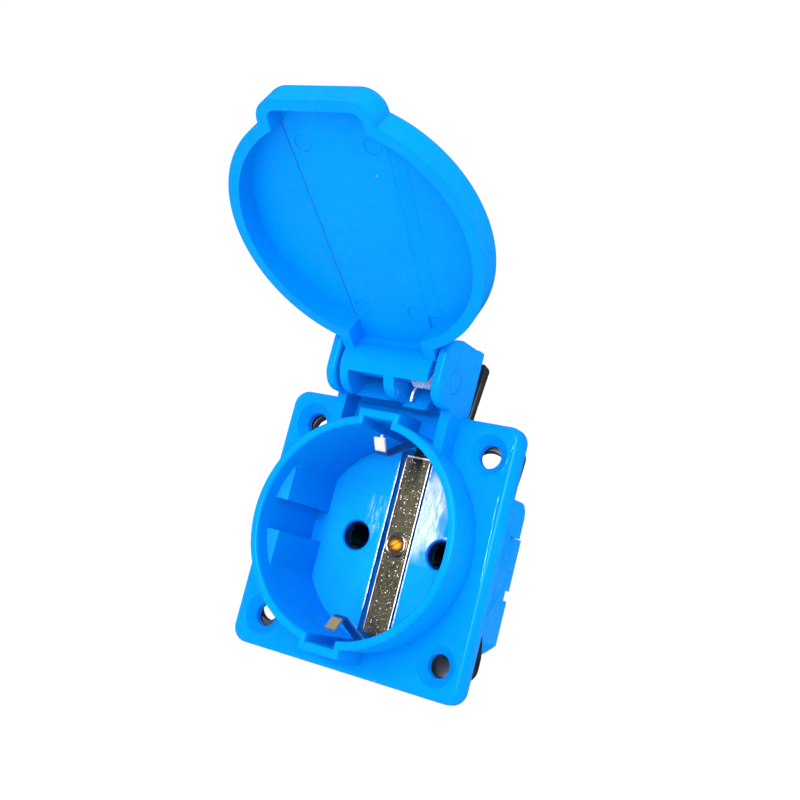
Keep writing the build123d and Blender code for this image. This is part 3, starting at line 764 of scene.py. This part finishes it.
# %% Marks on the blue nylon
# Each box: from, to and fade in millimetres, along x, y and z
HOLES_BOX = ((-13, 13, 0.5), (7.5, 24, 0.1), (-4, 4, 0.5))
GROOVE_BOX = ((-4.6, 4.6, 0.2), (7.5, 10, 0.1), (-19, 19, 0.5))
FLOOR_BOX = ((-18, 18, 3.0), (7.4, 7.6, 0.04), (-18, 18, 3.0))
REFLECTION_BOX = ((3.1, 14, 0.3), (7.4, 7.6, 0.04), (-3.0, 16.5, 3.5))
LEFT_REFLECTION_BOX = ((-8.5, -4.0, 1.2), (7.4, 7.6, 0.04), (-1.0, 9.0, 3.0))
SHADE_TOP, SHADE_FULL = 7.6, 8.1


def dusted(tree, place, colour):
    """A fine pale speck in the middle of a few cells of a cell pattern, there where a noise is high."""
    cell = add(tree, "TexVoronoi", Vector=place, Scale=scale_for(2.6))
    speck = add(tree, "Math", {"operation": "LESS_THAN"}, i0=cell, i1=0.035)
    region = add(tree, "TexNoise", Vector=place, Scale=scale_for(9.0))
    rare = add(tree, "Math", {"operation": "GREATER_THAN"}, i0=region, i1=0.56)
    share = add(tree, "Math", TIMES, i0=speck, i1=rare)
    return add(tree, "Mix", COLOURS, out=2, i0=share, i6=colour, i7=linear("#d8ecff"))


def shaded(tree, place, colour):
    """A much darker blue from just under the well's floor downwards, in the holes and the groove."""
    depth = add(tree, "SeparateXYZ", out="Y", Vector=place)
    deep = add(tree, "MapRange", i0=depth, i1=SHADE_TOP * MM, i2=SHADE_FULL * MM)
    for box in (HOLES_BOX, GROOVE_BOX):
        share = within(tree, place, deep, box)
        colour = add(tree, "Mix", COLOURS, out=2, i0=share, i6=colour, i7=linear("#003478"))
    return colour


def floor_painted_light(tree, place, colour):
    """A painted pool of light and sheen on the floor of the well, paler in some spots than in others."""
    spots = add(tree, "TexNoise", Vector=place, Scale=scale_for(5.0))
    worn_and_painted_light = add(tree, "MapRange", i0=spots, i1=0.3, i2=0.7, i3=0.45, i4=0.75)
    share = within(tree, place, worn_and_painted_light, FLOOR_BOX)
    return add(tree, "Mix", COLOURS, out=2, i0=share, i6=colour, i7=linear("#0ea3e7"))


def floor_painted_reflection(tree, place, colour):
    """Pale streaks, a painted reflection of a lamp: a fine noise, stretched along z, shows where a coarse
    one is high.
    """
    long = add(tree, "Mapping", Vector=place, Scale=(1.0, 1.0, 0.16))
    fine = add(tree, "TexNoise", Vector=long, Scale=scale_for(0.5), Detail=5.0, Roughness=0.75)
    streaks = add(tree, "MapRange", i0=fine, i1=0.34, i2=0.56)
    coarse = add(tree, "TexNoise", Vector=place, Scale=scale_for(6.0))
    patches = add(tree, "MapRange", i0=coarse, i1=0.36, i2=0.52, i3=0.1, i4=1)
    both = add(tree, "Math", TIMES, i0=streaks, i1=patches)
    share = within(tree, place, both, REFLECTION_BOX)
    reflected = add(tree, "Mix", COLOURS, out=2, i0=share, i6=colour, i7=linear("#eef7ff"))
    # A fainter painted reflection left of the strap
    faint = add(tree, "TexNoise", Vector=long, Scale=scale_for(0.6), Detail=5.0, Roughness=0.75)
    thin = add(tree, "MapRange", i0=faint, i1=0.5, i2=0.64, i3=0, i4=0.7)
    share = within(tree, place, thin, LEFT_REFLECTION_BOX)
    return add(tree, "Mix", COLOURS, out=2, i0=share, i6=reflected, i7=linear("#d6ebff"))


MARKS = (dusted, shaded, floor_painted_light, floor_painted_reflection)
print("marks on the nylon:", [mark.__name__ for mark in MARKS])

# %% [markdown]
# The nylon's own look is built in two steps. Its normal starts from edges that look rounded, as the cut
# edges of a mould are, then swells slowly and ends with a fine grain. Its colour drifts a little, and
# the marks above are laid on it one after another. Reflections get a blue tint, which stands in for
# the light that goes a little way into dyed nylon before it comes back.

# %% Moulded blue nylon
def moulded_blue(name, edge, gloss, smooth, dull):
    """Edges rounded by that many millimetres, that share of gloss, and a roughness between two values."""
    made, tree = material(name)
    place = add(tree, "TexCoord", out="Object")
    rounded = add(tree, "Bevel", {"samples": 4}, Radius=edge * MM)
    swell = add(tree, "TexNoise", Vector=place, Scale=scale_for(7.0))
    wavy = add(tree, "Bump", Height=swell, Distance=0.015 * MM, Normal=rounded)
    fine = add(tree, "TexNoise", Vector=place, Scale=scale_for(0.35), Detail=3.0)
    grain = add(tree, "Bump", Height=fine, Distance=0.0006 * MM, Normal=wavy)
    clouds = add(tree, "TexNoise", Vector=place, Scale=scale_for(1.6), Detail=5.0, Roughness=0.7)
    cloud = add(tree, "MapRange", i0=clouds, i1=0.38, i2=0.62, i3=smooth, i4=dull)
    slow = add(tree, "TexNoise", Vector=place, Scale=scale_for(16.0))
    drift = add(tree, "MapRange", i0=slow, i1=0.3, i2=0.7)
    colour = add(tree, "Mix", COLOURS, out=2, i0=drift, i6=linear("#0086e3"), i7=linear("#008ce7"))
    for mark in MARKS:
        colour = mark(tree, place, colour)
    looks = {"Base Color": colour, "Specular IOR Level": gloss, "Specular Tint": linear("#58b8ff")}
    shader = add(tree, "BsdfPrincipled", Normal=grain, Roughness=cloud, **looks)
    add(tree, "OutputMaterial", Surface=shader)
    return made


blue = moulded_blue("blue moulded nylon", edge=0.18, gloss=0.09, smooth=0.15, dull=0.32)
# Where the melt froze against polished steel, as on the flow ridges, the skin stays glossy
glossy_blue = moulded_blue("blue nylon with a glossy skin", edge=0.02, gloss=0.9, smooth=0.06, dull=0.12)
print("blues:", blue.name, "and", glossy_blue.name)

# %% [markdown]
# Two small finishes go with the nylon. A gap too fine to let light in shows the same blue, much darker and
# without gloss. The raised edges of the groove carry a painted highlight: pale blue and white in patches.

# %% Fine gaps and edges with a painted highlight
def shadow_line():
    """Plain dark blue with hardly any reflection."""
    made, tree = material("blue plastic in shade")
    looks = {"Base Color": linear("#0066bc"), "Specular IOR Level": 0.05}
    shader = add(tree, "BsdfPrincipled", Roughness=0.6, **looks)
    add(tree, "OutputMaterial", Surface=shader)
    return made


def painted_highlight_edge():
    """Pale blue and white in patches half a millimetre across: a painted highlight."""
    made, tree = material("pale blue edge with a painted highlight")
    place = add(tree, "TexCoord", out="Object")
    patches = add(tree, "TexNoise", Vector=place, Scale=scale_for(0.5), Detail=4.0, Roughness=0.7)
    noise_shaped = add(tree, "MapRange", i0=patches, i1=0.42, i2=0.58)
    colour = add(tree, "Mix", COLOURS, out=2, i0=noise_shaped, i6=linear("#3fb4ff"), i7=linear("#ffffff"))
    shader = add(tree, "BsdfPrincipled", Roughness=0.3, **{"Base Color": colour})
    add(tree, "OutputMaterial", Surface=shader)
    return made


dark_blue = shadow_line()
highlight_blue = painted_highlight_edge()
print("made:", dark_blue.name, "and", highlight_blue.name)

# %% [markdown]
# Rubber is matt black with a bluish bloom, which is wax that comes out to its surface.

# %% Black gasket rubber
def gasket_rubber():
    """Blotches of bloom about three millimetres across on black, and a skin that is finely uneven."""
    made, tree = material("black gasket rubber")
    place = add(tree, "TexCoord", out="Object")
    blotches = add(tree, "TexNoise", Vector=place, Scale=scale_for(3.0), Detail=4.0)
    bloom = add(tree, "MapRange", i0=blotches, i1=0.35, i2=0.7)
    colour = add(tree, "Mix", COLOURS, out=2, i0=bloom, i6=linear("#14171b"), i7=linear("#262c36"))
    skin = add(tree, "TexNoise", Vector=place, Scale=scale_for(0.2), Detail=3.0)
    uneven = add(tree, "Bump", Height=skin, Distance=0.01 * MM)
    shader = add(tree, "BsdfPrincipled", Roughness=0.55, Normal=uneven, **{"Base Color": colour})
    add(tree, "OutputMaterial", Surface=shader)
    return made


rubber = gasket_rubber()
print("made:", rubber.name)

# %% [markdown]
# The earth strap is brass strip with a frosted nickel plating, dark with age. Scattered grains of the
# plating sparkle white, a painted glint: white dots at the middles of a fine cell pattern, thinned out by
# noise. Real grains are finer, and these are drawn as coarse as they need to show. The narrow clips at its
# ends are rubbed bright by plugs, so frosting and tarnish fade out towards the front, which is a step on
# the piece's own depth coordinate. The painted glints and the rubbed tips are partly matt white or cream,
# so there the metal is less of a mirror: at the tips this is in part a painted reflection.

# %% Frosted nickel strip
FROST_START, FROST_FULL = 6.9, 7.3
RUBBED_FULL, RUBBED_END = -7.4, -7.1
RUBBED_MATT = 0.85


def aged_nickel(tree, place, frosted, worn_and_painted_light):
    """Tarnish on the flat strip, bluish arms, and tips that are brighter on the upper clip."""
    blotches = add(tree, "TexNoise", Vector=place, Scale=scale_for(0.7), Detail=4.0, Roughness=0.7)
    tarnish = add(tree, "MapRange", i0=blotches, i1=0.35, i2=0.65)
    old = add(tree, "Mix", COLOURS, out=2, i0=tarnish, i6=linear("#3f3c2e"), i7=linear("#615c47"))
    arms = add(tree, "Mix", COLOURS, out=2, i0=frosted, i6=linear("#8fa3ad"), i7=old)
    height = add(tree, "SeparateXYZ", out="Z", Vector=place)
    upper = add(tree, "MapRange", i0=height, i1=-1 * MM, i2=1 * MM)
    # The tips' pale cream is rubbed metal and in part a painted reflection
    tips = add(tree, "Mix", COLOURS, out=2, i0=upper, i6=linear("#8f8069"), i7=linear("#e9dccd"))
    return add(tree, "Mix", COLOURS, out=2, i0=worn_and_painted_light, i6=arms, i7=tips)


def painted_grain_glints(tree, place, frosted):
    """Painted glints: the middles of cells half a millimetre across, where a noise is high and the strip
    is frosted.
    """
    cell = add(tree, "TexVoronoi", Vector=place, Scale=scale_for(0.5))
    middle = add(tree, "MapRange", i0=cell, i1=0.26, i2=0.14)
    region = add(tree, "TexNoise", Vector=place, Scale=scale_for(0.9), Detail=3.0, Roughness=0.7)
    thinned = add(tree, "MapRange", i0=region, i1=0.48, i2=0.58)
    grain = add(tree, "Math", TIMES, i0=middle, i1=thinned)
    return add(tree, "Math", TIMES, i0=grain, i1=frosted)


def frosted_nickel():
    """Pitted with dark tarnish on the flat strip, with painted white glints, and smooth at the worn tips.
    """
    made, tree = material("frosted nickel plating")
    place = add(tree, "TexCoord", out="Object")
    depth = add(tree, "SeparateXYZ", out="Y", Vector=place)
    frosted = add(tree, "MapRange", i0=depth, i1=FROST_START * MM, i2=FROST_FULL * MM)
    worn_and_painted_light = add(tree, "MapRange", i0=depth, i1=RUBBED_FULL * MM, i2=RUBBED_END * MM, i3=1, i4=0)
    grain = painted_grain_glints(tree, place, frosted)
    aged = aged_nickel(tree, place, frosted, worn_and_painted_light)
    # The grains' white is a painted glint
    colour = add(tree, "Mix", COLOURS, out=2, i0=grain, i6=aged, i7=linear("#ffffff"))
    worn = add(tree, "MapRange", i0=worn_and_painted_light, i4=RUBBED_MATT)
    matt_share = add(tree, "Math", {"operation": "MAXIMUM"}, i0=grain, i1=worn)
    metallic = add(tree, "Math", {"operation": "SUBTRACT"}, i0=1.0, i1=matt_share)
    rough = add(tree, "MapRange", i0=frosted, i3=0.25, i4=0.22)
    pits = add(tree, "TexNoise", Vector=place, Scale=scale_for(0.28), Detail=4.0, Roughness=0.65)
    height = add(tree, "Math", TIMES, i0=pits, i1=frosted)
    rounded = add(tree, "Bevel", {"samples": 4}, Radius=0.12 * MM)
    pitted = add(tree, "Bump", Height=height, Distance=0.05 * MM, Normal=rounded)
    looks = {"Base Color": colour, "Metallic": metallic}
    shader = add(tree, "BsdfPrincipled", Roughness=rough, Normal=pitted, **looks)
    add(tree, "OutputMaterial", Surface=shader)
    return made


nickel = frosted_nickel()
print("made:", nickel.name, "with", len(nickel.node_tree.nodes), "nodes")

# %% [markdown]
# The spring is bright drawn wire. The terminals and the earth link are turned or stamped brass, and the
# clamp screws are zinc-plated steel. These need little more than a colour, a roughness, and fine turning
# marks or scratches. The small bright edges of the strap are a near-white metal that is more matt than
# mirror, a painted glint, and the drawn wire is in part matt white, a painted reflection.

# %% Wire, brass and plated steel
def plain_metal(name, code, rough, scratch_size, scratch_depth, metallic=1.0):
    """One colour, with scratches of that size and depth in millimetres that also vary the gloss."""
    made, tree = material(name)
    place = add(tree, "TexCoord", out="Object")
    wear = add(tree, "TexNoise", Vector=place, Scale=scale_for(scratch_size), Detail=3.0, Roughness=0.6)
    varied = add(tree, "MapRange", i0=wear, i1=0.3, i2=0.7, i3=rough * 0.8, i4=rough * 1.25)
    noise_shaped = add(tree, "Bump", Height=wear, Distance=scratch_depth * MM)
    looks = {"Base Color": linear(code), "Metallic": metallic}
    shader = add(tree, "BsdfPrincipled", Roughness=varied, Normal=noise_shaped, **looks)
    add(tree, "OutputMaterial", Surface=shader)
    return made


# The wire's matt white share is a painted reflection
wire = plain_metal("bright drawn wire", "#ffffff", 0.26, 0.4, 0.0004, metallic=0.7)
brass = plain_metal("turned brass", "#e0a63c", 0.24, 0.3, 0.006)
# The contacts lie deep in their holes, and their dull dark teal is painted shade
contact_shade_brass = plain_metal("brass in painted shade", "#0b1f2e", 0.9, 0.3, 0.006)
zinc = plain_metal("zinc-plated steel", "#cfd2d6", 0.3, 0.5, 0.006)
# The strap's edges and nub: near-white and mostly matt, a painted glint
glint_nickel = plain_metal("nickel edge with a painted glint", "#fff0de", 0.25, 0.3, 0.006, metallic=0.25)
# A flash of nickel, only a thousandth of a millimetre thick, leaves the brass showing through
rim_brass = plain_metal("nickel-flashed brass", "#b8a07c", 0.16, 0.3, 0.003)
print("metals:", [metal.name for metal in (wire, brass, contact_shade_brass, zinc, glint_nickel, rim_brass)])

# %% [markdown]
# The head of the centre screw is domed. Its bright crown is a painted highlight, and its dark edge a
# painted reflection of the dark room, so its colour is blended by the distance from the screw's own
# middle.

# %% Domed brass head
CROWN, HEAD_EDGE = 0.35, 1.1


def domed_brass():
    """The distance is measured across the head alone, and a little short sideways, for a wide crown."""
    made, tree = material("brass with a painted highlight and a dark edge")
    place = add(tree, "TexCoord", out="Object")
    flat = add(tree, "Mapping", Vector=place, Scale=(0.75, 0.0, 1.0))
    away = add(tree, "VectorMath", {"operation": "LENGTH"}, out="Value", i0=flat)
    # Share of the dark edge, a painted reflection; the crown is a painted highlight
    dull = add(tree, "MapRange", i0=away, i1=CROWN * MM, i2=HEAD_EDGE * MM)
    colour = add(tree, "Mix", COLOURS, out=2, i0=dull, i6=linear("#ffb81c"), i7=linear("#4a2f0c"))
    looks = {"Base Color": colour, "Metallic": 0.7}
    shader = add(tree, "BsdfPrincipled", Roughness=0.3, **looks)
    add(tree, "OutputMaterial", Surface=shader)
    return made


gold = domed_brass()
print("made:", gold.name)

# %% [markdown]
# Last, each piece gets its finish. The measured pieces carry the name of a material slot, so one table
# serves them all, and the few that differ from their slot's finish are named after it. The pieces made
# above take theirs one group at a time.

# %% Finishes on the pieces
finish = {
    "blue_plastic": blue,
    "black_rubber": rubber,
    "spring_wire": wire,
    "nickel_strip": nickel,
    "brass": brass,
    "screw_steel": zinc,
}
special = {
    "contact_left": contact_shade_brass,
    "contact_right": contact_shade_brass,
    "centre_screw": gold,
    "strap_eyelet": rim_brass,
}
for part in frame["record"]["subparts"]:
    node = nodes[part["node"]]
    node.data.materials.clear()
    node.data.materials.append(special.get(part["node"], finish[part["material_slot"]]))
dressed = (
    (rubber, (gasket,)),
    (rim_brass, (eyelet,)),
    (blue, (ramp, lip)),
    (dark_blue, (insert_shade_strip, gap)),
    (glossy_blue, (upper_flow, lower_flow)),
    (highlight_blue, (groove_left, groove_right)),
    (glint_nickel, (*strap_edges, nub)),
    (wire, (coil, ear_leg, lid_leg)),
)
for made, pieces in dressed:
    for piece in pieces:
        piece.data.materials.append(made)
print("finishes in use:", sorted(finish), "and", len(dressed), "groups of new pieces")
